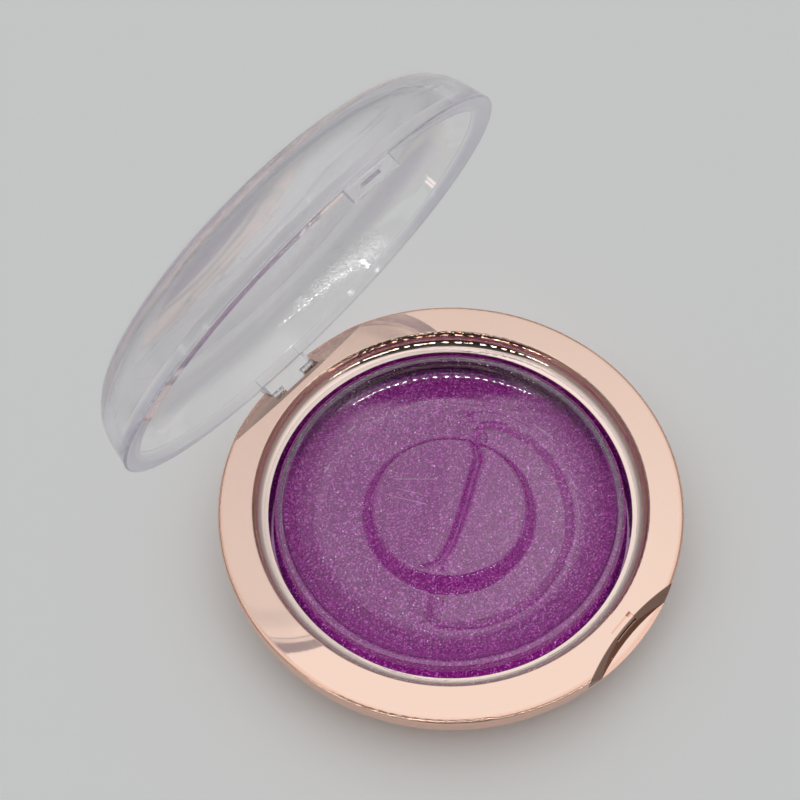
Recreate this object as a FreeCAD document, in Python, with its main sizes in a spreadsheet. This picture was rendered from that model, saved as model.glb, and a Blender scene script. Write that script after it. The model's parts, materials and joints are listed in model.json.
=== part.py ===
import FreeCAD, Part
import math
import os
import Sketcher

# False eyelash case: a round plated base with a clear hinged lid, a glitter card and a clear lash tray.
# Frame: origin at the centre of the foot on the table, +Z up, the thumb notch at -Y, the hinge at +Y.
# The lid stands open as photographed, all lengths are in millimetres and angles in degrees.

sizes = {
    # outline of the base
    "caseRadius": 38.0,
    "baseHeight": 10.5,
    "partingDrop": 2.55,
    # shell under the parting line
    "bandHeight": 0.8,
    "bowlRadius": 30.0,
    "footInset": 5.5,
    "footWidth": 2.5,
    "footRecess": 0.65,
    "floorThickness": 1.5,
    "shellRim": 1.7,
    "shellPocket": 0.5,
    # deck above it: flange, coved recess and well
    "flangeFall": 0.2,
    "edgeRound": 0.6,
    "mouthRound": 0.3,
    "flangeWidth": 5.8,
    "recessWall": 1.2,
    "coveBend": 2.0,
    "ledgeWidth": 0.2,
    "lipRound": 0.15,
    "deckWall": 1.4,
    "ribDepth": 1.4,
    "ribWall": 1.0,
    "ribGap": 0.1,
    # bevel and hinge at the back
    "bevelWidth": 4.6,
    "bevelFall": 1.65,
    "hingeInset": 1.7,
    "knuckleRadius": 1.65,
    "tongueWidth": 9.7,
    "tongueGap": 0.15,
    "slotGap": 0.35,
    "saddleDepth": 2.35,
    "saddleGap": 0.4,
    "pinRadius": 0.6,
    "pinGrip": 2.8,
    "pinReach": 2.4,
    "pinFit": 0.02,
    "pinRunning": 0.05,
    "boreEnd": 0.25,
    "pinChamfer": 0.12,
    "earWall": 1.7,
    # thumb notch and lid catch at the front
    "notchDepth": 2.9,
    "notchRadius": 41.0,
    "notchLean": 1.2,
    "catchWidth": 4.7,
    "catchInset": 0.95,
    "catchBar": 0.4,
    "catchBarDrop": 0.35,
    "catchFloor": 1.25,
    "catchWindow": 0.55,
    # lid
    "lidInset": 0.2,
    "lidHeight": 10.95,
    "lidDraft": 2.55,
    "lidWall": 1.7,
    "lidTop": 1.5,
    "crownRound": 8.9,
    "rimWidth": 2.8,
    "rimBand": 1.8,
    "rimRound": 0.3,
    "tabWidth": 8.0,
    "tabDrop": 2.05,
    "tabThickness": 0.7,
    "tabInset": 0.45,
    "nibWidth": 3.2,
    "nibHeight": 0.5,
    "nibRise": 0.82,
    "nibGrip": 0.06,
    "openAngle": 69.4,
    # glitter card
    "cardThickness": 0.35,
    "cardGap": 0.2,
    # lash tray
    "trayGap": 0.1,
    "traySheet": 0.4,
    "trayRoom": 1.0,
    "trayLip": 1.7,
    "trayHeight": 5.7,
    "slopeRun": 5.3,
    "slopeBend": 5.45,
    "troughWidth": 7.5,
    "discDraft": 1.5,
    "discHeight": 3.4,
    "grooveInset": 2.7,
    "grooveDrop": 1.0,
    "grooveBend": 48.0,
    "grooveWidth": 1.7,
    "grooveDepth": 1.0,
    "grooveSlant": 20.7,
    # how far a cut runs past the face that it leaves by, and how far a joined block sinks in
    "overrun": 1.0,
    "sink": 0.3,
}

# share of the sheet's thickness by which its underside shifts at the foot and top of the disc's wall
wallBendShare = 0.65

# how closely an edge has to match a worked-out size to be picked
matchTolerance = 1e-4

doc = FreeCAD.newDocument("LashCase")
sheet = doc.addObject("Spreadsheet::Sheet", "Sizes")
for row, (alias, number) in enumerate(sizes.items(), 1):
    sheet.set(f"A{row}", alias)
    sheet.set(f"B{row}", str(number))
    sheet.setAlias(f"B{row}", alias)
doc.recompute()


class Size:
    """A number together with the sheet formula that gives it."""

    def __init__(self, value, text):
        self.value = value
        self.text = text

    def __add__(self, other):
        other = asSize(other)
        return Size(self.value + other.value, f"({self.text} + {other.text})")

    def __sub__(self, other):
        other = asSize(other)
        return Size(self.value - other.value, f"({self.text} - {other.text})")

    def __mul__(self, other):
        other = asSize(other)
        return Size(self.value * other.value, f"({self.text} * {other.text})")

    def __truediv__(self, other):
        other = asSize(other)
        return Size(self.value / other.value, f"({self.text} / {other.text})")

    def __neg__(self):
        return Size(-self.value, f"(0 - {self.text})")


def asSize(thing):
    return thing if isinstance(thing, Size) else Size(float(thing), str(thing))


def size(alias):
    return Size(float(sheet.get(alias)), f"Sizes.{alias}")


def arcSine(ratio):
    """The angle in degrees."""
    return Size(math.degrees(math.asin(ratio.value)), f"asin({ratio.text})")


def root(square):
    return Size(math.sqrt(square.value), f"sqrt({square.text})")


def newBody(label):
    body = doc.addObject("PartDesign::Body", label)
    body.Label = label
    return body


def originPlane(body, role):
    return next(item for item in body.Origin.OriginFeatures if item.Role == role)


def placeOn(feature, body, role, x=0, y=0, z=0):
    """Attach to one of the body's own planes, moved along the plane's axes by sheet sizes."""
    feature.AttachmentSupport = [(originPlane(body, role), "")]
    feature.MapMode = "FlatFace"
    for axis, offset in zip("xyz", (x, y, z)):
        feature.setExpression(f"AttachmentOffset.Base.{axis}", asSize(offset).text)
    return feature


def newSketch(body, name, role, z=0):
    return placeOn(body.newObject("Sketcher::SketchObject", name), body, role, z=z)


def holdPoint(sketch, edge, end, x, y):
    """Tie one end of an edge to its place, measured from the sketch's origin."""
    for kind, axisLine, offset in (("DistanceX", -2, x), ("DistanceY", -1, y)):
        offset = asSize(offset)
        if offset.text == "0":
            sketch.addConstraint(Sketcher.Constraint("PointOnObject", edge, end, axisLine))
        else:
            rule = sketch.addConstraint(Sketcher.Constraint(kind, -1, 1, edge, end, offset.value))
            sketch.setExpression(f"Constraints[{rule}]", offset.text)


def arcBetween(start, end, radius):
    """The lesser arc from start to end; a positive radius turns left."""
    chord = end - start
    bow = math.sqrt(max(radius ** 2 - (chord.Length / 2) ** 2, 0.0))
    side = FreeCAD.Vector(-chord.y, chord.x, 0).normalize() * math.copysign(bow, radius)
    centre = (start + end) / 2 + side
    first, last = (start, end) if radius > 0 else (end, start)
    angles = [math.atan2(point.y - centre.y, point.x - centre.x) for point in (first, last)]
    circle = Part.Circle(centre, FreeCAD.Vector(0, 0, 1), abs(radius))
    return Part.ArcOfCircle(circle, *angles)


def drawLoop(sketch, corners):
    """Closed outline. A corner is (x, y), or (x, y, radius) where an arc leads on to the next corner."""
    corners = [[asSize(item) for item in corner] for corner in corners]
    points = [FreeCAD.Vector(corner[0].value, corner[1].value, 0) for corner in corners]
    ends = []
    for index, corner in enumerate(corners):
        start, end = points[index], points[(index + 1) % len(points)]
        if len(corner) == 3:
            edge = sketch.addGeometry(arcBetween(start, end, corner[2].value))
            ends.append((edge, 1, 2) if corner[2].value > 0 else (edge, 2, 1))
        else:
            edge = sketch.addGeometry(Part.LineSegment(start, end))
            ends.append((edge, 1, 2))
    for index, corner in enumerate(corners):
        edge, tail, head = ends[index]
        following = ends[(index + 1) % len(ends)]
        sketch.addConstraint(Sketcher.Constraint("Coincident", edge, head, following[0], following[1]))
        holdPoint(sketch, edge, tail, corner[0], corner[1])
        if len(corner) == 3:
            rule = sketch.addConstraint(Sketcher.Constraint("Radius", edge, abs(corner[2].value)))
            sign = corner[2] if corner[2].value > 0 else -corner[2]
            sketch.setExpression(f"Constraints[{rule}]", sign.text)


def revolve(body, name, role, corners, angle=None):
    """Turn an outline about +Z, all round or by an angle shared to both sides of the sketch."""
    sketch = newSketch(body, f"{name}Outline", role)
    drawLoop(sketch, corners)
    feature = body.newObject("PartDesign::Revolution", name)
    feature.Profile = sketch
    feature.ReferenceAxis = (sketch, ["V_Axis"])
    if angle:
        feature.Midplane = True
        feature.setExpression("Angle", angle.text)
    sketch.Visibility = False
    return feature


def extrude(body, name, role, corners, length, kind="PartDesign::Pad", start=0, middle=False):
    sketch = newSketch(body, f"{name}Outline", role, z=start)
    drawLoop(sketch, corners)
    feature = body.newObject(kind, name)
    feature.Profile = sketch
    feature.setExpression("Length", length.text)
    feature.Midplane = middle
    return feature


def block(body, name, low, high, kind="Subtractive"):
    """A box between two corners, each given as x, y, z."""
    low = [asSize(item) for item in low]
    high = [asSize(item) for item in high]
    feature = body.newObject(f"PartDesign::{kind}Box", name)
    placeOn(feature, body, "XY_Plane", *low)
    for side, start, end in zip(("Length", "Width", "Height"), low, high):
        feature.setExpression(side, (end - start).text)
    return feature


def pinBore(body, name, start, length, radius):
    """A round cut along +X on the hinge axis."""
    feature = body.newObject("PartDesign::SubtractiveCylinder", name)
    placeOn(feature, body, "YZ_Plane", hingeY, partingZ, start)
    feature.setExpression("Radius", radius.text)
    feature.setExpression("Height", length.text)
    return feature


def roundCircle(body, name, base, circleRadius, height, radius):
    """Fillet the level round edge that has the given radius and height."""
    doc.recompute()
    names = []
    for index, edge in enumerate(base.Shape.Edges, 1):
        box = edge.BoundBox
        misses = (box.ZLength, box.Center.z - height.value, box.XLength / 2 - circleRadius.value)
        if max(abs(miss) for miss in misses) < matchTolerance:
            names.append(f"Edge{index}")
    feature = body.newObject("PartDesign::Fillet", name)
    feature.Base = (base, names)
    feature.setExpression("Radius", radius.text)
    return feature


# Heights and places that several pieces share
caseRadius = size("caseRadius")
recessRadius = caseRadius - size("flangeWidth")
wellRadius = recessRadius - size("coveBend") - size("ledgeWidth")
recessBack = recessRadius + size("deckWall")
topZ = size("baseHeight")
partingZ = topZ - size("partingDrop")
floorZ = size("footRecess") + size("floorThickness")
cardTopZ = floorZ + size("cardThickness")
trayBaseZ = cardTopZ + size("trayGap")
hingeY = caseRadius - size("hingeInset")
lidRadius = caseRadius - size("lidInset")
slotHalf = size("tongueWidth") / 2 + size("tongueGap")
slotFrontY = hingeY - size("knuckleRadius") - size("slotGap")
slotFloorZ = partingZ - size("knuckleRadius") - size("slotGap")
notchY = -caseRadius + size("notchDepth")
notchSlope = size("notchLean") / size("partingDrop")
overrun = size("overrun")
sink = size("sink")
pinSocket = size("pinRadius") + size("pinFit")
earHalf = slotHalf + size("pinGrip") + size("earWall")
earAngle = arcSine(earHalf / caseRadius) * 2


def hingeSlot(body):
    """The space for the lid's tongue, open at the back and above."""
    return block(
        body,
        "TongueSlot",
        (-slotHalf, slotFrontY, slotFloorZ),
        (slotHalf, caseRadius + overrun, topZ + overrun),
    )


def pinSockets(body):
    """Half-round seats for the two hinge pins, one to each side of the slot."""
    length = size("pinGrip") + overrun
    pinBore(body, "RightPinSocket", slotHalf - overrun, length, pinSocket)
    return pinBore(body, "LeftPinSocket", -slotHalf - size("pinGrip"), length, pinSocket)


def makeShell():
    """The lower plated bowl: foot ring, floor, curved side and the rim that the deck sits on."""
    body = newBody("base_shell")
    rimInner = caseRadius - size("shellRim")
    deckFoot = wellRadius + size("deckWall") + size("shellPocket")
    footRadius = caseRadius - size("footInset")
    footInner = footRadius - size("footWidth")
    revolve(body, "Bowl", "XZ_Plane", [
        (0, size("footRecess")),
        (footInner, size("footRecess")),
        (footInner, 0),
        (footRadius, 0, size("bowlRadius")),
        (caseRadius, partingZ - size("bandHeight")),
        (caseRadius, partingZ),
        (rimInner, partingZ),
        (rimInner, partingZ - size("ribDepth") - size("ribGap")),
        (deckFoot, floorZ),
        (0, floorZ),
    ])
    saddleInner = recessBack + size("saddleGap")
    revolve(body, "PinSaddles", "YZ_Plane", [
        (saddleInner, partingZ),
        (saddleInner, partingZ - size("saddleDepth") - size("shellRim")),
        (rimInner + sink, partingZ - size("saddleDepth")),
        (rimInner + sink, partingZ),
    ], angle=earAngle)
    hingeSlot(body)
    pinSockets(body)
    return body


def makeDeck():
    """The upper plated ring: flange, coved recess, well wall, hinge ears, thumb notch and catch."""
    body = newBody("deck_ring")
    edge = size("edgeRound")
    mouth = size("mouthRound")
    wall = size("deckWall")
    lip = size("lipRound")
    cove = size("coveBend")
    coveZ = topZ - size("recessWall") - cove
    edgeZ = topZ - size("flangeFall")
    flangeUnderZ = edgeZ - wall
    ribOuter = caseRadius - size("shellRim") - size("ribGap")
    ribInner = ribOuter - size("ribWall")
    revolve(body, "Ring", "XZ_Plane", [
        (wellRadius, floorZ),
        (wellRadius + wall, floorZ),
        (wellRadius + wall, coveZ - wall),
        (recessBack, coveZ - wall),
        (recessBack, flangeUnderZ),
        (ribInner, flangeUnderZ),
        (ribInner, partingZ - size("ribDepth")),
        (ribOuter, partingZ - size("ribDepth")),
        (ribOuter, partingZ),
        (caseRadius, partingZ),
        (caseRadius, edgeZ - edge, edge),
        (caseRadius - edge, edgeZ),
        (recessRadius + mouth, topZ, mouth),
        (recessRadius, topZ - mouth),
        (recessRadius, coveZ + cove, -cove),
        (recessRadius - cove, coveZ),
        (wellRadius + lip, coveZ, lip),
        (wellRadius, coveZ - lip),
    ])
    revolve(body, "HingeEars", "YZ_Plane", [
        (recessBack - sink, partingZ),
        (caseRadius - sink, partingZ),
        (caseRadius - sink, flangeUnderZ + sink),
        (recessBack - sink, flangeUnderZ + sink),
    ], angle=earAngle)
    ribGapHalf = earHalf + size("ribGap")
    block(
        body,
        "RibGapAtHinge",
        (-ribGapHalf, recessBack, partingZ - size("ribDepth") - overrun),
        (ribGapHalf, caseRadius + overrun, partingZ),
    )
    # the bevel falls from a chord of the flange to the back edge, clear of the lid's rim as it swings
    bevelY = caseRadius - size("bevelWidth")
    extrude(body, "Bevel", "YZ_Plane", [
        (bevelY, topZ),
        (caseRadius, topZ - size("bevelFall")),
        (caseRadius + overrun, topZ - size("bevelFall") - overrun * size("bevelFall") / size("bevelWidth")),
        (caseRadius + overrun, topZ + overrun),
        (bevelY, topZ + overrun),
    ], caseRadius, "PartDesign::Pocket", middle=True)
    hingeSlot(body)
    pinSockets(body)
    # the thumb notch is a leaning scoop cut by a cone that stands in front of the case
    notch = body.newObject("PartDesign::SubtractiveCone", "ThumbNotch")
    placeOn(notch, body, "XY_Plane", 0, notchY - size("notchRadius"), partingZ - overrun)
    notch.setExpression("Radius1", (size("notchRadius") - size("notchLean") - notchSlope * overrun).text)
    notch.setExpression("Radius2", (size("notchRadius") + notchSlope * overrun).text)
    notch.setExpression("Height", (size("partingDrop") + overrun + overrun).text)
    # the catch is a bite in the notch's edge, crossed by a sunk bar with a window under it for the nib
    half = size("catchWidth") / 2
    pitY = notchY + size("catchBar")
    frontY = notchY - size("notchLean") - sink
    catchZ = topZ - size("catchFloor")
    block(body, "CatchPit", (-half, pitY, catchZ), (half, notchY + size("catchInset"), topZ + overrun))
    block(body, "CatchWindow", (-half, frontY, catchZ), (half, pitY + sink, catchZ + size("catchWindow")))
    block(
        body,
        "CatchMouth",
        (-half, frontY, topZ - size("catchBarDrop")),
        (half, pitY + sink, topZ + overrun),
    )
    return body


def makeLid():
    """The clear lid with its thick rim, hinge tongue, front tab and catch nib, drawn closed, then opened."""
    body = newBody("lid")
    crownZ = topZ + size("lidHeight")
    innerCrownZ = crownZ - size("lidTop")
    bandZ = topZ + size("rimBand")
    rimInner = lidRadius - size("rimWidth")
    lean = size("lidDraft") / size("lidHeight")
    innerRadius = lidRadius - size("lidWall")
    crownRadius = lidRadius - size("lidDraft")
    innerCrownRadius = innerRadius - lean * (size("lidHeight") - size("lidTop"))
    crown = revolve(body, "Crown", "XZ_Plane", [
        (rimInner, topZ),
        (lidRadius, topZ),
        (crownRadius, crownZ),
        (0, crownZ),
        (0, innerCrownZ),
        (innerCrownRadius, innerCrownZ),
        (innerRadius - lean * size("rimBand"), bandZ),
        (rimInner, bandZ),
    ])
    outer = roundCircle(body, "CrownRound", crown, crownRadius, crownZ, size("crownRound"))
    innerRound = size("crownRound") - size("lidTop")
    inner = roundCircle(body, "InnerRound", outer, innerCrownRadius, innerCrownZ, innerRound)
    roundCircle(body, "RimRound", inner, lidRadius, topZ, size("rimRound"))
    # the tongue hangs from the back of the rim and ends in a knuckle round the hinge axis
    knuckle = size("knuckleRadius")
    extrude(body, "Tongue", "YZ_Plane", [
        (hingeY - knuckle, partingZ, knuckle),
        (hingeY, partingZ - knuckle, knuckle),
        (hingeY + knuckle, partingZ),
        (hingeY + knuckle, topZ),
        (lidRadius - size("rimRound"), bandZ),
        (rimInner + sink, bandZ),
        (rimInner + sink, topZ),
        (hingeY - knuckle, topZ - sink),
    ], size("tongueWidth"), middle=True)
    boreRadius = size("pinRadius") + size("pinRunning")
    boreDepth = size("pinReach") + size("boreEnd")
    tongueHalf = size("tongueWidth") / 2
    pinBore(body, "RightBore", tongueHalf - boreDepth, boreDepth + overrun, boreRadius)
    pinBore(body, "LeftBore", -tongueHalf - overrun, boreDepth + overrun, boreRadius)
    # the tab hangs flush with the outline of the rim, the nib points in at the catch
    tabHalf = size("tabWidth") / 2
    tabY = -caseRadius + size("tabInset")
    tabFootZ = topZ - size("tabDrop")
    tabBackY = tabY + size("tabThickness")
    block(body, "Tab", (-tabHalf, tabY, tabFootZ), (tabHalf, tabBackY, topZ + sink), "Additive")
    nibZ = tabFootZ + size("nibRise")
    nibTipZ = nibZ + size("nibHeight") / 2
    nibTipY = notchY - notchSlope * (topZ - nibTipZ) + size("nibGrip")
    extrude(body, "Nib", "YZ_Plane", [
        (tabBackY - sink, nibZ),
        (tabBackY, nibZ),
        (nibTipY, nibTipZ),
        (tabBackY, nibZ + size("nibHeight")),
        (tabBackY - sink, nibZ + size("nibHeight")),
    ], size("nibWidth"), middle=True)
    hinge = FreeCAD.Vector(0, hingeY.value, partingZ.value)
    turn = FreeCAD.Rotation(FreeCAD.Vector(1, 0, 0), -size("openAngle").value)
    body.Placement = FreeCAD.Placement(FreeCAD.Vector(), turn, hinge)
    return body


def makePin(label, side):
    """A short steel pin from an ear into the tongue, with both ends chamfered."""
    body = newBody(label)
    reach = slotHalf - size("tongueGap") - size("pinReach")
    length = size("pinReach") + size("tongueGap") + size("pinGrip")
    pin = body.newObject("PartDesign::AdditiveCylinder", "Pin")
    placeOn(pin, body, "YZ_Plane", hingeY, partingZ, reach if side > 0 else -reach - length)
    pin.setExpression("Radius", size("pinRadius").text)
    pin.setExpression("Height", length.text)
    doc.recompute()
    ends = [f"Edge{index}" for index, edge in enumerate(pin.Shape.Edges, 1) if edge.isClosed()]
    chamfer = body.newObject("PartDesign::Chamfer", "PinChamfer")
    chamfer.Base = (pin, ends)
    chamfer.setExpression("Size", size("pinChamfer").text)
    return body


def makeCard():
    """The glitter card that lies on the floor of the well."""
    body = newBody("glitter_card")
    revolve(body, "Card", "XZ_Plane", [
        (0, floorZ),
        (wellRadius - size("cardGap"), floorZ),
        (wellRadius - size("cardGap"), cardTopZ),
        (0, cardTopZ),
    ])
    return body


def makeTray():
    """The clear formed tray: lip, sloping side, trough for the lashes and raised disc with a groove."""
    body = newBody("lash_tray")
    thick = size("traySheet")
    lipZ = trayBaseZ + size("trayHeight")
    troughZ = trayBaseZ + thick
    discZ = troughZ + size("discHeight")
    trayRadius = wellRadius - size("trayRoom")
    lipInner = trayRadius - size("trayLip")
    troughOuter = lipInner - size("slopeRun")
    discFoot = troughOuter - size("troughWidth")
    discRadius = discFoot - size("discDraft")
    wallShift = thick * wallBendShare
    revolve(body, "Sheet", "XZ_Plane", [
        (0, discZ),
        (0, discZ - thick),
        (discRadius - wallShift, discZ - thick),
        (discFoot - wallShift, trayBaseZ),
        (troughOuter, trayBaseZ, size("slopeBend") + thick),
        (lipInner + thick, lipZ - thick),
        (trayRadius, lipZ - thick),
        (trayRadius, lipZ),
        (lipInner, lipZ, -size("slopeBend")),
        (troughOuter, troughZ),
        (discFoot, troughZ),
        (discRadius, discZ),
    ])
    # the groove is an arc that bows to the front, with round ends, turned by its slant
    bend = size("grooveBend")
    reach = discRadius - size("grooveInset")
    sine = reach / bend
    cosine = root(asSize(1) - sine * sine)
    middleY = -size("grooveDrop")

    def slot(name, kind, half, depth):
        sideX, sideY = half * sine, half * cosine
        feature = extrude(body, name, "XY_Plane", [
            (-reach - sideX, middleY - sideY, bend + half),
            (reach + sideX, middleY - sideY, half),
            (reach + sideY, middleY + sideX, half),
            (reach - sideX, middleY + sideY, half - bend),
            (-reach + sideX, middleY + sideY, half),
            (-reach - sideY, middleY + sideX, half),
        ], depth, kind, start=discZ)
        feature.Profile[0].setExpression("AttachmentOffset.Rotation.Angle", size("grooveSlant").text)
        return feature

    grooveHalf = size("grooveWidth") / 2
    wall = slot("GrooveWall", "PartDesign::Pad", grooveHalf + thick, size("grooveDepth") + thick)
    wall.Reversed = True
    slot("Groove", "PartDesign::Pocket", grooveHalf, size("grooveDepth"))
    return body


parts = [
    makeShell(),
    makeDeck(),
    makeLid(),
    makePin("hinge_pin_right", 1),
    makePin("hinge_pin_left", -1),
    makeCard(),
    makeTray(),
]
doc.recompute()
for item in doc.Objects:
    if "Invalid" in item.State or "Error" in item.State:
        raise RuntimeError(f"{item.Label}: {item.State}")
    base = getattr(item, "BaseFeature", None)
    if base and item.TypeId.startswith(("PartDesign::Subtractive", "PartDesign::Pocket")):
        if item.Shape.Volume >= base.Shape.Volume:
            raise RuntimeError(f"{item.Label} cuts nothing")
os.makedirs("parts", exist_ok=True)
for body in parts:
    shape = body.Shape
    if shape.isNull() or not shape.isValid():
        raise RuntimeError(f"{body.Label} has no valid shape")
for body in parts:
    body.Shape.exportStep(f"parts/{body.Label}.step")
    print(f"{body.Label}: {len(body.Shape.Solids)} solid, {body.Shape.Volume / 1000:.3f} cm3")
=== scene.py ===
import json
import math

import bpy
import numpy as np
from mathutils import Matrix, Vector


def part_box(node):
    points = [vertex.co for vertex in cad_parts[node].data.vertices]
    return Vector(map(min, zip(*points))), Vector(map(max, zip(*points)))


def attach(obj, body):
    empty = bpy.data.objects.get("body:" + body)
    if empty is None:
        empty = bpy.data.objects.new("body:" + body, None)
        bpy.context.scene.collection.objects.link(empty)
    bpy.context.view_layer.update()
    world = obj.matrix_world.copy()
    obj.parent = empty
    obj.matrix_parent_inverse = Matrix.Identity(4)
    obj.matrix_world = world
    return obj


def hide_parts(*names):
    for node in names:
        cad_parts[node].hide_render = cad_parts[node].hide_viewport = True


# False eyelash case in metres: rose gold plated base, clear hinged lid, glitter card and clear lash tray.
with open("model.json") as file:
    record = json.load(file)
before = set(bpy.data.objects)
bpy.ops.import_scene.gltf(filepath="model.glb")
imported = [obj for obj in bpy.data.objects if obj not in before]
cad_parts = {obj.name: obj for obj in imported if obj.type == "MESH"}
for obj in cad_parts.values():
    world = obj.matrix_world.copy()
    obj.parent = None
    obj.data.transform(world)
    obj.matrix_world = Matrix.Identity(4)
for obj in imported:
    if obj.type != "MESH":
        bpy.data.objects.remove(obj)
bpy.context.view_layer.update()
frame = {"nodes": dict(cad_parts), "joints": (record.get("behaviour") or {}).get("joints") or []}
nodes = frame["nodes"]
millimetre = 0.001
white = (1.0, 1.0, 1.0, 1.0)
print("frame loaded:", ", ".join(sorted(nodes)))


def metres(values):
    return [value * millimetre for value in values]


# Camera at the photograph's angle
camera = {
    "aim": (8.26, 18.02, 10.5),      # mm, where the axis meets the flange's plane
    "distance": 205.98,              # mm
    "azimuth": 44.97,                # degrees from +Y towards +X, the way the camera looks
    "elevation": 57.92,              # degrees down from level
    "roll": -4.15,                   # degrees
    "lens": 54.0,                    # mm
    "clip": (0.01, 20.0),            # m
}


def makeCamera():
    azimuth, elevation = math.radians(camera["azimuth"]), math.radians(camera["elevation"])
    look = Vector((
        math.sin(azimuth) * math.cos(elevation),
        math.cos(azimuth) * math.cos(elevation),
        -math.sin(elevation),
    ))
    data = bpy.data.cameras.new("camera")
    data.lens = camera["lens"]
    data.clip_start, data.clip_end = camera["clip"]
    eye = bpy.data.objects.new("camera", data)
    roll = Matrix.Rotation(math.radians(camera["roll"]), 4, "Z")
    turn = look.to_track_quat("-Z", "Y").to_matrix().to_4x4()
    place = (Vector(camera["aim"]) - look * camera["distance"]) * millimetre
    eye.matrix_world = Matrix.Translation(place) @ turn @ roll
    bpy.context.scene.collection.objects.link(eye)
    bpy.context.scene.camera = eye


makeCamera()


# Node tree helpers
def newMaterial(name):
    material = bpy.data.materials.new(name)
    material.use_nodes = True
    tree = material.node_tree
    return material, tree, tree.nodes["Principled BSDF"]


def addNode(tree, kind, **values):    # settings and inputs by name
    node = tree.nodes.new(kind)
    for key, value in values.items():
        if hasattr(node, key):
            setattr(node, key, value)
        else:
            node.inputs[key].default_value = value
    return node


def feed(tree, socket, value):    # links a socket, or sets it where the value is plain
    if isinstance(value, bpy.types.NodeSocket):
        tree.links.new(value, socket)
    else:
        socket.default_value = value


def combine(tree, operation, first, second=0.0, clamp=False):
    node = addNode(tree, "ShaderNodeMath", operation=operation, use_clamp=clamp)
    feed(tree, node.inputs[0], first)
    feed(tree, node.inputs[1], second)
    return node.outputs[0]


def largest(tree, first, *others):
    for other in others:
        first = combine(tree, "MAXIMUM", first, other)
    return first


def vectorMath(tree, operation, first, second=None):
    node = addNode(tree, "ShaderNodeVectorMath", operation=operation)
    feed(tree, node.inputs[0], first)
    if second is not None:
        feed(tree, node.inputs["Scale" if operation == "SCALE" else 1], second)
    return node.outputs["Value" if operation in ("LENGTH", "DISTANCE", "DOT_PRODUCT") else "Vector"]


def flatten(tree, point):    # straight down onto the plane through the origin
    return vectorMath(tree, "MULTIPLY", point, (1.0, 1.0, 0.0))


def coordinate(tree, vector, axis):
    node = tree.nodes.new("ShaderNodeSeparateXYZ")
    tree.links.new(vector, node.inputs[0])
    return node.outputs[axis]


def ease(tree, value, low, high, lowest=0.0, highest=1.0):    # smooth step between two values
    node = addNode(tree, "ShaderNodeMapRange", interpolation_type="SMOOTHSTEP")
    feed(tree, node.inputs["Value"], value)
    for label, number in (("From Min", low), ("From Max", high), ("To Min", lowest), ("To Max", highest)):
        node.inputs[label].default_value = number
    return node.outputs[0]


def blendColours(tree, share, first, second, way="MIX"):
    node = addNode(tree, "ShaderNodeMix", data_type="RGBA", blend_type=way)
    feed(tree, node.inputs[0], share)
    feed(tree, node.inputs[6], first)
    feed(tree, node.inputs[7], second)
    return node.outputs[2]


def noise(tree, point, scale, detail):
    node = addNode(tree, "ShaderNodeTexNoise", Detail=detail)
    tree.links.new(point, node.inputs["Vector"])
    feed(tree, node.inputs["Scale"], scale)
    return node.outputs["Fac"]


def randomCells(tree, point, scale):    # with three random values of each cell
    node = addNode(tree, "ShaderNodeTexVoronoi")
    tree.links.new(point, node.inputs["Vector"])
    feed(tree, node.inputs["Scale"], scale)
    chance = tree.nodes.new("ShaderNodeSeparateColor")
    tree.links.new(node.outputs["Color"], chance.inputs[0])
    return node, chance.outputs


def bump(tree, height, strength, distance, normal=None, invert=False):
    node = addNode(tree, "ShaderNodeBump", Strength=strength, invert=invert)
    tree.links.new(height, node.inputs["Height"])
    feed(tree, node.inputs["Distance"], distance)
    if normal is not None:
        tree.links.new(normal, node.inputs["Normal"])
    return node.outputs["Normal"]


def objectPoint(tree):
    return tree.nodes.new("ShaderNodeTexCoord").outputs["Object"]


def newGroup(name, inputs, outputs):
    group = bpy.data.node_groups.new(name, "ShaderNodeTree")
    for label, kind, number in inputs:
        socket = group.interface.new_socket(label, in_out="INPUT", socket_type=kind)
        if number is not None:
            socket.default_value = number
    for label, kind in outputs:
        group.interface.new_socket(label, in_out="OUTPUT", socket_type=kind)
    return group, group.nodes.new("NodeGroupInput"), group.nodes.new("NodeGroupOutput")


def useGroup(tree, group, **values):    # the group's one output, with inputs by name
    node = tree.nodes.new("ShaderNodeGroup")
    node.node_tree = group
    for key, value in values.items():
        feed(tree, node.inputs[key.capitalize()], value)
    return node.outputs[0]


# Slow waves that a moulded or formed skin has
waveDetail = 1.5


def makeMouldWaves():
    group, entry, out = newGroup(
        "mouldWaves",
        [
            ("Point", "NodeSocketVector", None),
            ("Scale", "NodeSocketFloat", 80.0),
            ("Height", "NodeSocketFloat", 0.00001),
        ],
        [("Normal", "NodeSocketVector")],
    )
    waves = noise(group, entry.outputs["Point"], entry.outputs["Scale"], waveDetail)
    group.links.new(bump(group, waves, 1.0, entry.outputs["Height"]), out.inputs["Normal"])
    return group


# Hairline scratches: noise drawn out along a few directions, kept to patches
scratches = {
    "turns": (0.5, 1.45, 2.3),      # radians about Z
    "lean": 0.6,                    # share of each turn that is made about X as well
    "stretch": (90.0, 4500.0, 4500.0),     # noise per metre along a scratch and across it
    "lineRange": (0.70, 0.76),      # noise over which a scratch sets in
    "patchScale": 45.0,
    "patchRange": (0.45, 0.62),     # noise over which a patch sets in
}


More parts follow.
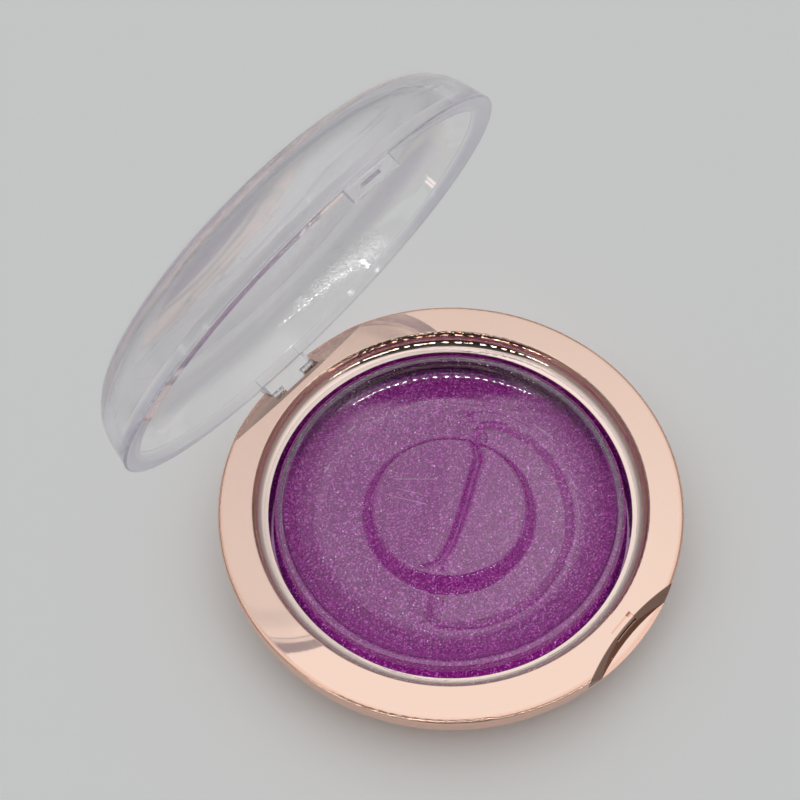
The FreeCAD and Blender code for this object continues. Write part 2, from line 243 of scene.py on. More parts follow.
def makeHairScratches():
    group, entry, out = newGroup(
        "hairScratches",
        [
            ("Point", "NodeSocketVector", None),
            ("Amount", "NodeSocketFloat", 0.5),
            ("More", "NodeSocketFloat", 0.0),     # added to both noises, so that scratches lie denser
        ],
        [("Mask", "NodeSocketFloat")],
    )
    point, more = entry.outputs["Point"], entry.outputs["More"]
    lines = []
    for turn in scratches["turns"]:
        place = addNode(group, "ShaderNodeMapping", vector_type="TEXTURE")
        place.inputs["Rotation"].default_value = (turn * scratches["lean"], 0.0, turn)
        group.links.new(point, place.inputs["Vector"])
        drawn = vectorMath(group, "MULTIPLY", place.outputs[0], scratches["stretch"])
        line = combine(group, "ADD", noise(group, drawn, 1.0, 0.0), more)
        lines.append(ease(group, line, *scratches["lineRange"]))
    patch = combine(group, "ADD", noise(group, point, scratches["patchScale"], 1.0), more)
    kept = combine(group, "MULTIPLY", largest(group, *lines), ease(group, patch, *scratches["patchRange"]))
    mask = combine(group, "MULTIPLY", kept, entry.outputs["Amount"], clamp=True)
    group.links.new(mask, out.inputs["Mask"])
    return group


# Dust: small round specks in a few cells of a grid of cells
speckReach = 0.09     # largest radius of a speck, in cells


def makeDustSpecks():
    group, entry, out = newGroup(
        "dustSpecks",
        [
            ("Point", "NodeSocketVector", None),
            ("Scale", "NodeSocketFloat", 500.0),
            ("Amount", "NodeSocketFloat", 0.2),
        ],
        [("Mask", "NodeSocketFloat")],
    )
    cells, chance = randomCells(group, entry.outputs["Point"], entry.outputs["Scale"])
    chosen = combine(group, "LESS_THAN", chance[0], entry.outputs["Amount"])
    reach = combine(group, "MULTIPLY", chance[1], speckReach)
    near = combine(group, "LESS_THAN", cells.outputs["Distance"], reach)
    group.links.new(combine(group, "MULTIPLY", chosen, near), out.inputs["Mask"])
    return group


mouldWaves = makeMouldWaves()
hairScratches = makeHairScratches()
dustSpecks = makeDustSpecks()


# Plated plastic, with colour in zones by radius: the metal's own tones, painted shade on the well's wall,
# and painted warm reflection on the rolled edge and side
plating = {
    "zones": (                 # colour, and the radii in mm over which it gives way to the next one
        ((0.360, 0.200, 0.330, 1.0), (30.02, 30.06)),      # wall of the well, painted dark purple shade
        ((0.870, 0.705, 0.640, 1.0), (31.3, 31.9)),        # champagne ledge
        ((0.800, 0.560, 0.450, 1.0), (32.2, 32.4)),        # wall of the recess
        ((0.870, 0.640, 0.535, 1.0), (36.9, 37.6)),        # flange
        ((0.860, 0.560, 0.440, 1.0), (37.9, 37.98)),       # rolled edge, more orange: painted warm reflection
        ((0.920, 0.610, 0.490, 1.0), None),                # side, coppery: partly the plating's own tone, partly painted warm reflection
    ),
    # dark brown on the notch's leaning wall: painted shade, in place of the dark the wall mirrors
    "notch": (0.270, 0.160, 0.122, 1.0),
    "notchAxis": (0.0, -76.1, 0.0),    # mm
    "notchBand": (41.02, 41.08),       # mm from that axis, where the notch's wall ends
    "notchHeight": (7.96, 8.0),        # mm, where it starts
    "roughness": 0.035,
    "edgeBand": (36.9, 37.6),          # mm of radius, over which the plating gets duller
    "edgeRoughness": 0.26,
    "turnedLines": (14.0, 2600.0),     # lathe lines on the ledge: scale along and across them
    "turnedRange": (0.52, 0.62),       # noise over which a line sets in
    "turnedEdge": (32.1, 32.2),        # mm of radius, where they end
    "turnedRoughness": 0.12,
    "turnedBump": (0.35, 0.00001),     # strength, and height in metres
    "waveScale": 60.0,
    "waveHeight": 0.000010,
    "scratchAmount": 0.35,
    "dustScale": 420.0,
    "dustAmount": 0.10,
    "dustColour": (0.75, 0.72, 0.70, 1.0),
    "wornRoughness": 0.25,             # added where it is scratched or dusty
}


# The leaning wall of the thumb notch, a cone about an axis in front of the case, where dark brown painted
# shade goes
def notchShadeMask(tree, point):
    away = flatten(tree, vectorMath(tree, "SUBTRACT", point, metres(plating["notchAxis"])))
    near = ease(tree, vectorMath(tree, "LENGTH", away), *metres(plating["notchBand"]), 1.0, 0.0)
    above = ease(tree, coordinate(tree, point, "Z"), *metres(plating["notchHeight"]))
    return combine(tree, "MULTIPLY", near, above)


# Fine rings on the ledge, as noise over the direction and the radius
def turnedMask(tree, level, radius):
    along, across = plating["turnedLines"]
    heading = vectorMath(tree, "SCALE", vectorMath(tree, "NORMALIZE", level), along)
    outward = tree.nodes.new("ShaderNodeCombineXYZ")
    tree.links.new(combine(tree, "MULTIPLY", radius, across), outward.inputs["Z"])
    place = vectorMath(tree, "ADD", heading, outward.outputs[0])
    lines = ease(tree, noise(tree, place, 1.0, 1.0), *plating["turnedRange"])
    inside = ease(tree, radius, *metres(plating["turnedEdge"]), 1.0, 0.0)
    return combine(tree, "MULTIPLY", lines, inside)


def makePlating():
    material, tree, shader = newMaterial("rosePlating")
    point = objectPoint(tree)
    level = flatten(tree, point)
    radius = vectorMath(tree, "LENGTH", level)
    metal, band = plating["zones"][0]
    for colour, nextBand in plating["zones"][1:]:
        metal = blendColours(tree, ease(tree, radius, *metres(band)), metal, colour)
        band = nextBand
    # painted shade on the notch's wall
    metal = blendColours(tree, notchShadeMask(tree, point), metal, plating["notch"])
    dust = useGroup(
        tree, dustSpecks, point=point, scale=plating["dustScale"], amount=plating["dustAmount"],
    )
    feed(tree, shader.inputs["Base Color"], blendColours(tree, dust, metal, plating["dustColour"]))
    scratch = useGroup(tree, hairScratches, point=point, amount=plating["scratchAmount"])
    worn = combine(tree, "MULTIPLY", largest(tree, scratch, dust), plating["wornRoughness"])
    dull = ease(tree, radius, *metres(plating["edgeBand"]), plating["roughness"], plating["edgeRoughness"])
    turned = turnedMask(tree, level, radius)
    lines = combine(tree, "MULTIPLY", turned, plating["turnedRoughness"])
    feed(tree, shader.inputs["Roughness"], combine(tree, "ADD", worn, largest(tree, dull, lines)))
    waves = useGroup(
        tree, mouldWaves, point=point, scale=plating["waveScale"], height=plating["waveHeight"],
    )
    feed(tree, shader.inputs["Normal"], bump(tree, turned, *plating["turnedBump"], normal=waves))
    shader.inputs["Metallic"].default_value = 1.0
    return material


# Clear plastic. Lamps shine through it: shadow and diffuse rays pass as through tinted film.
# What would be trapped inside by total reflection leaves straight on, with the thick tint
def letLightThrough(tree, shader, values):
    path = tree.nodes.new("ShaderNodeLightPath")
    inside = tree.nodes.new("ShaderNodeNewGeometry").outputs["Backfacing"]
    mirror = addNode(tree, "ShaderNodeFresnel", IOR=values["ior"]).outputs[0]
    trapped = combine(tree, "MULTIPLY", combine(tree, "MULTIPLY", inside, mirror), values["trapped"])
    surface = shader.outputs[0]
    for share, tint in (
        (trapped, values["thickTint"]),
        (path.outputs["Is Diffuse Ray"], values["tint"]),
        (path.outputs["Is Shadow Ray"], values["tint"]),
    ):
        passing = addNode(tree, "ShaderNodeBsdfTransparent", Color=tint)
        mix = tree.nodes.new("ShaderNodeMixShader")
        tree.links.new(share, mix.inputs[0])
        tree.links.new(surface, mix.inputs[1])
        tree.links.new(passing.outputs[0], mix.inputs[2])
        surface = mix.outputs[0]
    tree.links.new(surface, tree.nodes["Material Output"].inputs["Surface"])


# What the lid and the tray share: marks make them rougher and coat them with a pale gloss
def finishClear(tree, shader, marks, values):
    worn = combine(tree, "MULTIPLY", marks, values["wornRoughness"])
    feed(tree, shader.inputs["Roughness"], combine(tree, "ADD", worn, values["roughness"]))
    feed(tree, shader.inputs["Coat Weight"], marks)
    shader.inputs["Coat Roughness"].default_value = values["coatRoughness"]
    shader.inputs["Coat IOR"].default_value = values["coatIor"]
    shader.inputs["Transmission Weight"].default_value = values["transmission"]
    shader.inputs["IOR"].default_value = values["ior"]
    letLightThrough(tree, shader, values)


# Largest of soft round spots: one inside the core, a share of a spot's radius, and none beyond its radius
spotCore = 0.3


def spotMask(tree, point, spots):
    masks = []
    for *place, reach in spots:
        away = vectorMath(tree, "DISTANCE", point, metres(place))
        masks.append(ease(tree, away, spotCore * reach * millimetre, reach * millimetre, 1.0, 0.0))
    return largest(tree, *masks)


lidPlastic = {
    "hingeToRim": 2.55,     # mm along the lid's axis
    "tint": (0.997, 0.998, 0.998, 1.0),
    "thickTint": (0.80, 0.79, 0.87, 1.0),
    "grazing": (0.82, 1.0),                # facing values over which that tint sets in
    "rimTint": (0.930, 0.925, 0.950, 1.0),
    "rimBand": (-0.4, 0.0, 0.8, 1.8),      # mm above the rim's plane, where the wall is thick
    # darker lavender towards the rim's two ends: painted shade
    "tipShadeTint": (0.760, 0.750, 0.825, 1.0),
    "tipReach": (24.0, 34.0),              # mm to each side, over which the rim takes painted lavender shade towards each end
    # darker grey lavender where the side bends into the crown: painted shade
    "crownShadeTint": (0.800, 0.800, 0.828, 1.0),
    "crownShadeBand": (5.0, 7.5, 9.2, 10.6),    # mm above the rim's plane, where the side bends into the crown and painted lavender shade lies
    "trapped": 0.45,        # share of the light caught by total reflection that leaves straight on
    "transmission": 0.99,
    "ior": 1.49,
    "roughness": 0.03,
    "waveScale": 42.0,
    "waveHeight": 0.000022,
    "scuffs": (             # x, y, z and radius in mm, on the open lid
        (11.1, 44.4, 12.9, 3.0), (15.2, 43.6, 14.2, 3.5), (18.8, 42.6, 15.8, 4.0), (22.1, 41.3, 17.6, 4.0),
        (24.9, 39.9, 19.4, 4.5), (27.6, 38.6, 21.6, 5.0), (29.7, 37.2, 23.6, 5.0), (31.3, 36.1, 25.6, 5.0),
        (21.6, 45.4, 20.2, 3.5),
    ),
    "scratchAmounts": (0.06, 1.0),         # away from the scuffs, and in them
    "scuffMore": 0.10,
    "dustScale": 300.0,
    "dustAmount": 0.05,
    "pitScale": 1300.0,
    "pitAmount": 0.7,                      # in the scuffs only
    "wornRoughness": 0.3,
    "coatRoughness": 0.35,
    "coatIor": 3.6,
    "markBump": (0.6, 0.00003),            # strength, and depth in metres
}

lidJoint = next(joint for joint in frame["joints"] if joint["name"] == "lid_hinge")
lidOpen = -math.radians(lidJoint["range_deg"][0])                 # from closed to the rest pose
lidAxis = Vector((0.0, math.sin(lidOpen), math.cos(lidOpen)))     # from the open lid's rim to its crown


# Rises over the band's first two heights above the lid's rim, and falls over the other two
def heightMask(tree, point, band):
    height = vectorMath(tree, "DOT_PRODUCT", point, lidAxis)
    rim = Vector(lidJoint["pos_m"]).dot(lidAxis) + lidPlastic["hingeToRim"] * millimetre
    places = [rim + place * millimetre for place in band]
    rising = ease(tree, height, *places[:2])
    falling = ease(tree, height, *places[2:], 1.0, 0.0)
    return combine(tree, "MULTIPLY", rising, falling)


def makeLidPlastic():
    material, tree, shader = newMaterial("lidPlastic")
    point = objectPoint(tree)
    scuffed = spotMask(tree, point, lidPlastic["scuffs"])
    amount = ease(tree, scuffed, 0.0, 1.0, *lidPlastic["scratchAmounts"])
    more = combine(tree, "MULTIPLY", scuffed, lidPlastic["scuffMore"])
    scratch = useGroup(tree, hairScratches, point=point, amount=amount, more=more)
    dust = useGroup(
        tree, dustSpecks, point=point, scale=lidPlastic["dustScale"], amount=lidPlastic["dustAmount"],
    )
    pitted = combine(tree, "MULTIPLY", scuffed, lidPlastic["pitAmount"])
    pits = useGroup(tree, dustSpecks, point=point, scale=lidPlastic["pitScale"], amount=pitted)
    marks = largest(tree, scratch, dust, pits)
    # painted shade: a darker band where the side bends into the crown
    crownShadeMask = heightMask(tree, point, lidPlastic["crownShadeBand"])
    crown = blendColours(tree, crownShadeMask, lidPlastic["tint"], lidPlastic["crownShadeTint"])
    sideways = combine(tree, "ABSOLUTE", coordinate(tree, point, "X"))
    # painted shade: the rim turns darker lavender towards each end
    tipShade = ease(tree, sideways, *metres(lidPlastic["tipReach"]))
    rimColour = blendColours(tree, tipShade, lidPlastic["rimTint"], lidPlastic["tipShadeTint"])
    body = blendColours(tree, heightMask(tree, point, lidPlastic["rimBand"]), crown, rimColour)
    facing = tree.nodes.new("ShaderNodeLayerWeight").outputs["Facing"]
    thick = ease(tree, facing, *lidPlastic["grazing"])
    feed(tree, shader.inputs["Base Color"], blendColours(tree, thick, body, lidPlastic["thickTint"]))
    waves = useGroup(
        tree, mouldWaves, point=point, scale=lidPlastic["waveScale"], height=lidPlastic["waveHeight"],
    )
    dented = bump(tree, marks, *lidPlastic["markBump"], normal=waves, invert=True)
    feed(tree, shader.inputs["Normal"], dented)
    finishClear(tree, shader, marks, lidPlastic)
    return material


trayPlastic = {
    "tint": (0.985, 0.985, 0.99, 1.0),
    "thickTint": (0.97, 0.96, 0.975, 1.0),
    "transmission": 1.0,
    "ior": 1.62,
    "roughness": 0.04,
    "trapped": 1.0,         # as for the lid
    "waveScale": 110.0,
    "waveHeight": 0.000012,
    "rubs": (               # start, end and width in mm, seen from above
        ((-2.2, 10.1), (2.2, 4.9), 0.06), ((-4.8, 8.0), (-2.4, 3.1), 0.06), ((-3.4, 8.8), (-1.5, 4.9), 0.04),
        ((0.3, 23.5), (2.1, 23.5), 0.20), ((-8.1, 21.4), (-6.3, 21.8), 0.18),
        ((22.8, -0.3), (22.6, -4.5), 0.13), ((5.5, -17.4), (6.3, -17.2), 0.20),
    ),
    "scratchAmount": 0.35,
    "dustScale": 380.0,
    "dustAmount": 0.12,
    "wornRoughness": 0.3,
    "coatRoughness": 0.25,
    "coatIor": 2.4,
}


# Largest of short strokes seen from above: how near a point is to each line from start to end,
# one inside the core, a share of the stroke's half width, and none beyond that half width
strokeCore = 0.4


def strokeMask(tree, point, strokes):
    level = flatten(tree, point)
    masks = []
    for start, end, width in strokes:
        start, end = (Vector((*place, 0.0)) * millimetre for place in (start, end))
        run = end - start
        offset = vectorMath(tree, "SUBTRACT", level, start)
        along = vectorMath(tree, "DOT_PRODUCT", offset, run / run.length_squared)
        share = combine(tree, "MULTIPLY", along, 1.0, clamp=True)
        away = vectorMath(tree, "DISTANCE", offset, vectorMath(tree, "SCALE", run, share))
        half = 0.5 * width * millimetre
        masks.append(ease(tree, away, strokeCore * half, half, 1.0, 0.0))
    return largest(tree, *masks)


def makeTrayPlastic():
    material, tree, shader = newMaterial("trayPlastic")
    point = objectPoint(tree)
    scratch = useGroup(tree, hairScratches, point=point, amount=trayPlastic["scratchAmount"])
    dust = useGroup(
        tree, dustSpecks, point=point, scale=trayPlastic["dustScale"], amount=trayPlastic["dustAmount"],
    )
    marks = largest(tree, scratch, dust, strokeMask(tree, point, trayPlastic["rubs"]))
    shader.inputs["Base Color"].default_value = trayPlastic["tint"]
    waves = useGroup(
        tree, mouldWaves, point=point, scale=trayPlastic["waveScale"], height=trayPlastic["waveHeight"],
    )
    feed(tree, shader.inputs["Normal"], waves)
    finishClear(tree, shader, marks, trayPlastic)
    return material


# Glitter card: flakes in cells, each with a colour and a lean of its own
glitter = {
    "flakeScale": 4600.0,
    "sparkScale": 2600.0,
    "colours": (
        (0.00, (0.180, 0.004, 0.150, 1.0)),
        (0.45, (0.280, 0.010, 0.236, 1.0)),
        (0.80, (0.395, 0.022, 0.342, 1.0)),
        (0.97, (0.720, 0.180, 0.670, 1.0)),
    ),
    "sparks": ((1.0, 0.62, 0.95, 1.0), (0.42, 0.50, 1.0, 1.0)),     # most pink, a few blue: painted sparkle on rare flakes
    "sparkShare": 0.014,
    "blueShare": 0.22,
    "sparkReach": 0.35,             # radius of a spark, in cells
    "lean": 0.30,
    "shadedRim": (28.2, 29.4),      # mm, over which the card darkens under the tray's lip
    "shadedTone": (0.42, 0.30, 0.50, 1.0),
    "metallic": 0.35,
    "roughness": 0.38,
    "specular": 0.1,
}


def makeGlitter():
    material, tree, shader = newMaterial("glitterCard")
    point = objectPoint(tree)
    flakes, flakeChance = randomCells(tree, point, glitter["flakeScale"])
    ramp = tree.nodes.new("ShaderNodeValToRGB")
    stops = ramp.color_ramp.elements
    while len(stops) < len(glitter["colours"]):
        stops.new(0.5)
    for stop, (place, colour) in zip(stops, glitter["colours"]):
        stop.position = place
        stop.color = colour
    tree.links.new(flakeChance[0], ramp.inputs[0])
    sparks, sparkChance = randomCells(tree, point, glitter["sparkScale"])
    rare = combine(tree, "GREATER_THAN", sparkChance[1], 1.0 - glitter["sparkShare"])
    near = combine(tree, "LESS_THAN", sparks.outputs["Distance"], glitter["sparkReach"])
    blue = combine(tree, "LESS_THAN", sparkChance[0], glitter["blueShare"])
    spark = blendColours(tree, blue, *glitter["sparks"])
    radius = vectorMath(tree, "LENGTH", flatten(tree, point))
    shaded = ease(tree, radius, *metres(glitter["shadedRim"]))
    shade = blendColours(tree, shaded, white, glitter["shadedTone"])
    toned = blendColours(tree, 1.0, ramp.outputs[0], shade, "MULTIPLY")
    # painted sparkle: rare flakes made bright in their colour, in place of glints
    paintedSparkle = combine(tree, "MULTIPLY", rare, near)
    feed(tree, shader.inputs["Base Color"], blendColours(tree, paintedSparkle, toned, spark))
    # each flake leans its own way
    lean = vectorMath(tree, "SUBTRACT", flakes.outputs["Color"], (0.5, 0.5, 0.5))
    lean = vectorMath(tree, "SCALE", lean, glitter["lean"])
    upright = tree.nodes.new("ShaderNodeNewGeometry").outputs["Normal"]
    tilted = vectorMath(tree, "NORMALIZE", vectorMath(tree, "ADD", upright, lean))
    feed(tree, shader.inputs["Normal"], tilted)
    shader.inputs["Metallic"].default_value = glitter["metallic"]
    shader.inputs["Roughness"].default_value = glitter["roughness"]
    shader.inputs["Specular IOR Level"].default_value = glitter["specular"]
    return material


# Steel of the pins, with fine rings round them
steel = {
    "colour": (0.62, 0.61, 0.60, 1.0),
    "rings": (9000.0, 800.0, 800.0),     # noise per metre along a pin and across it
    "ringRange": (0.3, 0.7),
    "roughness": (0.18, 0.36),           # over that range of the noise
    "ringBump": (0.3, 0.00001),          # strength, and height in metres
}


def makeSteel():
    material, tree, shader = newMaterial("pinSteel")
    rings = noise(tree, vectorMath(tree, "MULTIPLY", objectPoint(tree), steel["rings"]), 1.0, 1.0)
    feed(tree, shader.inputs["Roughness"], ease(tree, rings, *steel["ringRange"], *steel["roughness"]))
    feed(tree, shader.inputs["Normal"], bump(tree, rings, *steel["ringBump"]))
    shader.inputs["Base Color"].default_value = steel["colour"]
    shader.inputs["Metallic"].default_value = 1.0
    return material


def dress(material, *names):
    for name in names:
        mesh = nodes[name].data
        mesh.materials.clear()
        mesh.materials.append(material)


dress(makePlating(), "base_shell", "deck_ring")
dress(makeSteel(), "hinge_pin_right", "hinge_pin_left")
dress(makeLidPlastic(), "lid")
dress(makeGlitter(), "glitter_card")
print("CAD nodes dressed")


# Lash tray: a formed sheet, round about Z, with a groove across the disc and a low step round the trough
tray = {
    "sheet": 0.4,           # mm, as everything here
    "discRadius": 13.0,
    "discDrop": 1.9,        # the disc's top under the lip
    "discFoot": 14.5,
    "slope": ((21.8, 0.0), (25.9, 2.35)),     # radius and height above the floor, where it gets steep
    "lipInner": 27.5,
    "lipDrop": 1.0,
    "rounds": (1.3, 0.8, 5.0, 8.0, 0.6, 0.8),     # radii from the disc's edge to the lip's outer edge
    "runSteps": (0.20, 0.30, 0.26, 0.50, 0.50, 0.50, 0.40),
    "arcStep": 0.20,
    "edgeSteps": 7,         # points round the sheet's edge, with both ends
    "columns": 288,
    "groove": (
        (11.9, 4.3), (10.4, 2.4), (6.6, 0.5), (2.4, -1.6), (-2.2, -3.6), (-6.4, -5.0), (-9.4, -5.1),
        (-11.6, -3.6),
    ),
    "grooveWidths": (1.9, 1.9, 1.9, 1.9, 1.8, 1.6, 1.2, 0.7),
    "grooveDepth": 1.75,
    "grooveReach": 1.1,     # where it ends, in half widths
    "groovePower": 1.2,
    "groovePoints": 90,
    "step": (               # radius and degrees from +X
        (16.2, -153), (18.6, -152), (20.1, -146), (20.5, -136), (20.9, -100), (20.9, -60), (20.8, -25),
        (20.5, 0), (20.0, 14), (19.0, 22), (17.6, 26), (15.6, 25),
    ),
    "stepHeight": 0.22,
    "stepEase": 0.12,
    "stepReach": 1.6,
    "stepPoints": 240,
    "rippleHeight": 0.010,
    "rippleWaves": ((0.55, 0.8), (0.47, -0.4)),     # radians per mm, and shift, along x and along y
    "slantWave": (0.6, 0.31, -0.62),                # share, and radians per mm along x and y
}
fewestArcSteps = 4


# A smooth line through a few points: each coordinate a cubic curve through its neighbours, by chord length
def smoothLine(points, count):
    points = np.asarray(points, float)
    steps = np.linalg.norm(np.diff(points[:, :2], axis=0), axis=1)
    knots = np.concatenate([[0.0], np.cumsum(steps)])
    slopes = np.gradient(points, knots, axis=0)
    at = np.linspace(0.0, knots[-1], count)
    span = np.clip(np.searchsorted(knots, at, side="right") - 1, 0, len(knots) - 2)
    width = (knots[span + 1] - knots[span])[:, None]
    t = (at - knots[span])[:, None] / width
    start, end = points[span], points[span + 1]
    leave, arrive = slopes[span] * width, slopes[span + 1] * width
    return (
        (2 * t ** 3 - 3 * t ** 2 + 1) * start + (t ** 3 - 2 * t ** 2 + t) * leave
        + (3 * t ** 2 - 2 * t ** 3) * end + (t ** 3 - t ** 2) * arrive
    )


def runBetween(start, end, step):    # even points after start, up to end
    count = max(1, math.ceil(np.linalg.norm(end - start) / step))
    return start + (end - start) * np.linspace(0, 1, count + 1)[1:, None]


# A profile of straight runs, where an arc of the given radius touches both runs at each inner corner
def roundedProfile(corners, rounds, runSteps, arcStep):
    corners = np.asarray(corners, float)
    stretches = [corners[:1]]
    for index, radius in enumerate(rounds):
        before, corner, after = corners[index:index + 3]
        inward = (before - corner) / np.linalg.norm(before - corner)
        onward = (after - corner) / np.linalg.norm(after - corner)
        half = 0.5 * math.acos(np.clip(inward @ onward, -1, 1))
        middle = inward + onward
        centre = corner + middle / np.linalg.norm(middle) * radius / math.sin(half)
        first = corner + inward * radius / math.tan(half)
        last = corner + onward * radius / math.tan(half)
        turn = math.pi - 2 * half
        spoke = first - centre
        square = np.array([-spoke[1], spoke[0]])
        side = np.sign(spoke[0] * (last - centre)[1] - spoke[1] * (last - centre)[0])
        steps = max(fewestArcSteps, math.ceil(turn * radius / arcStep))
        angle = side * np.linspace(0, turn, steps + 1)[:, None]
        arc = centre + spoke * np.cos(angle) + square * np.sin(angle)
        stretches += [runBetween(stretches[-1][-1], first, runSteps[index]), arc[1:]]
    stretches.append(runBetween(stretches[-1][-1], corners[-1], runSteps[-1]))
    return np.concatenate(stretches)


# Faces of a grid that goes round the axis, where the first and last rows are one point each on the axis
def turnedMesh(name, x, y, z):
    rows, columns = x.shape
    ring = np.stack([x, y, z], axis=-1)
    points = np.concatenate([ring[:1, 0], ring[1:-1].reshape(-1, 3), ring[-1:, 0]])
    along = np.arange(columns)
    after = (along + 1) % columns
    inner = 1 + np.arange(rows - 3)[:, None] * columns
    outer = inner + columns
    quads = np.stack([inner + along, outer + along, outer + after, inner + after], axis=-1)
    top = np.stack([np.zeros(columns, int), 1 + along, 1 + after], axis=-1)
    end = len(points) - 1
    bottom = np.stack([end - columns + along, np.full(columns, end), end - columns + after], axis=-1)
    mesh = bpy.data.meshes.new(name)
    mesh.from_pydata(points.tolist(), [], top.tolist() + quads.reshape(-1, 4).tolist() + bottom.tolist())
    mesh.polygons.foreach_set("use_smooth", [True] * len(mesh.polygons))
    mesh.validate()
    return mesh


# Height added to the tray's sheet at each point of the plane, in mm:
# a groove whose depth falls off with the distance to its line, a step whose height changes sign across its
# line and fades away from it, and a slow ripple, a product of two sine waves plus a slanting one
def trayRelief(x, y):
    flat = np.stack([x.ravel(), y.ravel()], axis=-1)
    groove = smoothLine(np.column_stack([tray["groove"], tray["grooveWidths"]]), tray["groovePoints"])
    gap = np.linalg.norm(flat[:, None] - groove[None, :, :2], axis=2)
    width = groove[gap.argmin(axis=1), 2]
    fall = np.clip(tray["grooveReach"] - gap.min(axis=1) / (0.5 * width), 0, 1)
    relief = -tray["grooveDepth"] * fall ** tray["groovePower"] * width / tray["grooveWidths"][0]
    radius, angle = np.array(tray["step"]).T
    corners = np.column_stack([radius * np.cos(np.radians(angle)), radius * np.sin(np.radians(angle))])
    step = smoothLine(corners, tray["stepPoints"])
    away = flat[:, None] - step[None]
    nearest = np.linalg.norm(away, axis=2).argmin(axis=1)
    heading = np.gradient(step, axis=0)[nearest]
    offset = away[np.arange(len(flat)), nearest]
    distance = np.linalg.norm(offset, axis=1)
    side = np.sign(heading[:, 0] * offset[:, 1] - heading[:, 1] * offset[:, 0])
    rise = np.tanh(distance / tray["stepEase"]) * np.exp(-(distance / tray["stepReach"]) ** 2)
    relief -= side * tray["stepHeight"] * rise
    (rateX, shiftX), (rateY, shiftY) = tray["rippleWaves"]
    ripple = np.sin(rateX * flat[:, 0] + shiftX) * np.sin(rateY * flat[:, 1] + shiftY)
    share, slantX, slantY = tray["slantWave"]
    ripple += share * np.sin(slantX * flat[:, 0] + slantY * flat[:, 1])
    return (relief + tray["rippleHeight"] * ripple).reshape(x.shape)


# The sheet's profile goes out along its upper face and back along the lower one, a sheet's thickness inside
def makeTray():
    low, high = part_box("lash_tray")
    lipZ, lipRadius = high[2] / millimetre, high[0] / millimetre
    floorZ = low[2] / millimetre + tray["sheet"]
    discZ = lipZ - tray["discDrop"]
    corners = [
        (0.0, discZ), (tray["discRadius"], discZ), (tray["discFoot"], floorZ),
        *((radius, floorZ + height) for radius, height in tray["slope"]),
        (tray["lipInner"], lipZ), (lipRadius, lipZ), (lipRadius, lipZ - tray["lipDrop"]),
    ]
    upper = roundedProfile(corners, tray["rounds"], tray["runSteps"], tray["arcStep"])
    run = np.gradient(upper, axis=0)
    run /= np.linalg.norm(run, axis=1)[:, None]
    across = np.stack([run[:, 1], -run[:, 0]], axis=-1)    # points down from the upper face
    lower = (upper + across * tray["sheet"])[::-1]
    turn = np.linspace(0, math.pi, tray["edgeSteps"])[1:-1, None]
    rim = upper[-1] + across[-1] * 0.5 * tray["sheet"]
    edge = rim + 0.5 * tray["sheet"] * (np.sin(turn) * run[-1] - np.cos(turn) * across[-1])
    profile = np.concatenate([upper, edge, lower])
    profile[0, 0] = profile[-1, 0] = 0.0
    angle = np.linspace(0, 2 * math.pi, tray["columns"], endpoint=False)
    x = profile[:, :1] * np.cos(angle)
    y = profile[:, :1] * np.sin(angle)
    z = profile[:, 1:] + trayRelief(x, y)
    mesh = turnedMesh("lashTray", x * millimetre, y * millimetre, z * millimetre)
    piece = bpy.data.objects.new("lashTray", mesh)
    bpy.context.scene.collection.objects.link(piece)
    mesh.materials.append(makeTrayPlastic())
    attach(piece, "tray")
    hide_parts("lash_tray")
    print("tray:", len(mesh.polygons), "faces")


makeTray()


# Studio: a pale table in a light tent, which is open and dark towards the camera, with a row of lamps there
studio = {
    "table": (0.945, 0.951, 0.952, 1.0),
    "tableHalf": 1.5,               # m
    "tableRoughness": 0.8,
    "tableSpecular": 0.2,
    "backdrop": (0.60, 0.61, 0.61, 1.0),
    "ceiling": 1.06,
    "wall": 0.33,
    "wallTop": (22.0, 77.0),        # degrees of height over which the wall brightens into the ceiling
    "opening": (-0.62, -0.62, 0.48),
    "openingEdge": (34.0, 48.0),    # degrees from its middle
    "openingLight": 0.07,
    "lamps": 24,
    "lampDistance": 0.40,           # m
    "lampRise": 0.60,               # share of the distance
    "lampSpread": 1.35,             # share of the distance to each side
    "lampSize": 0.0095,
    "lampPower": 0.12,
}


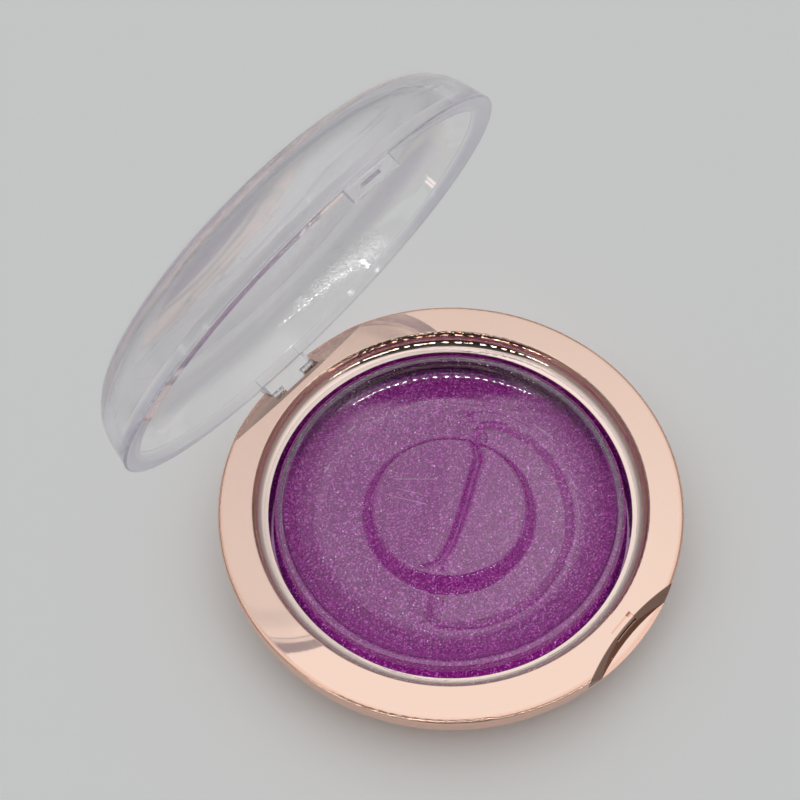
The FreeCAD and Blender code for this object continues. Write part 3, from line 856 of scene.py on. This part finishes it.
def makeTable():
    half = studio["tableHalf"]
    mesh = bpy.data.meshes.new("table")
    corners = [(-half, -half, 0), (half, -half, 0), (half, half, 0), (-half, half, 0)]
    mesh.from_pydata(corners, [], [(0, 1, 2, 3)])
    table = bpy.data.objects.new("table", mesh)
    bpy.context.scene.collection.objects.link(table)
    material, tree, shader = newMaterial("tablePaper")
    shader.inputs["Base Color"].default_value = studio["table"]
    shader.inputs["Roughness"].default_value = studio["tableRoughness"]
    shader.inputs["Specular IOR Level"].default_value = studio["tableSpecular"]
    mesh.materials.append(material)


def makeTent():
    world = bpy.data.worlds.new("tent")
    bpy.context.scene.world = world
    world.use_nodes = True
    tree = world.node_tree
    background = tree.nodes["Background"]
    background.inputs["Color"].default_value = white
    direction = tree.nodes.new("ShaderNodeTexCoord").outputs["Generated"]
    low, high = (math.sin(math.radians(angle)) for angle in studio["wallTop"])
    tent = ease(tree, coordinate(tree, direction, "Z"), low, high, studio["wall"], studio["ceiling"])
    facing = vectorMath(tree, "DOT_PRODUCT", direction, Vector(studio["opening"]).normalized())
    inner, outer = (math.cos(math.radians(angle)) for angle in studio["openingEdge"])
    dark = ease(tree, facing, outer, inner, 1.0, studio["openingLight"])
    tree.links.new(combine(tree, "MULTIPLY", tent, dark), background.inputs["Strength"])
    # the camera sees a plain backdrop
    plain = addNode(tree, "ShaderNodeBackground", Color=studio["backdrop"])
    path = tree.nodes.new("ShaderNodeLightPath")
    mix = tree.nodes.new("ShaderNodeMixShader")
    tree.links.new(path.outputs["Is Camera Ray"], mix.inputs[0])
    tree.links.new(background.outputs[0], mix.inputs[1])
    tree.links.new(plain.outputs[0], mix.inputs[2])
    tree.links.new(mix.outputs[0], tree.nodes["World Output"].inputs["Surface"])


def makeLampRow():
    front = Vector((studio["opening"][0], studio["opening"][1], 0)).normalized()
    side = Vector((-front.y, front.x, 0))
    reach = studio["lampDistance"]
    for number in range(studio["lamps"]):
        share = 2 * (number + 0.5) / studio["lamps"] - 1     # from -1 to 1 along the row
        lamp = bpy.data.lights.new("rowLamp", "POINT")
        lamp.energy = studio["lampPower"]
        lamp.shadow_soft_size = studio["lampSize"]
        bulb = bpy.data.objects.new("rowLamp", lamp)
        bulb.location = (front + side * share * studio["lampSpread"]) * reach
        bulb.location.z = reach * studio["lampRise"]
        bulb.visible_diffuse = False    # seen only in reflections
        bpy.context.scene.collection.objects.link(bulb)


makeTable()
makeTent()
makeLampRow()
bpy.context.scene.view_settings.view_transform = "Standard"
print("studio set")
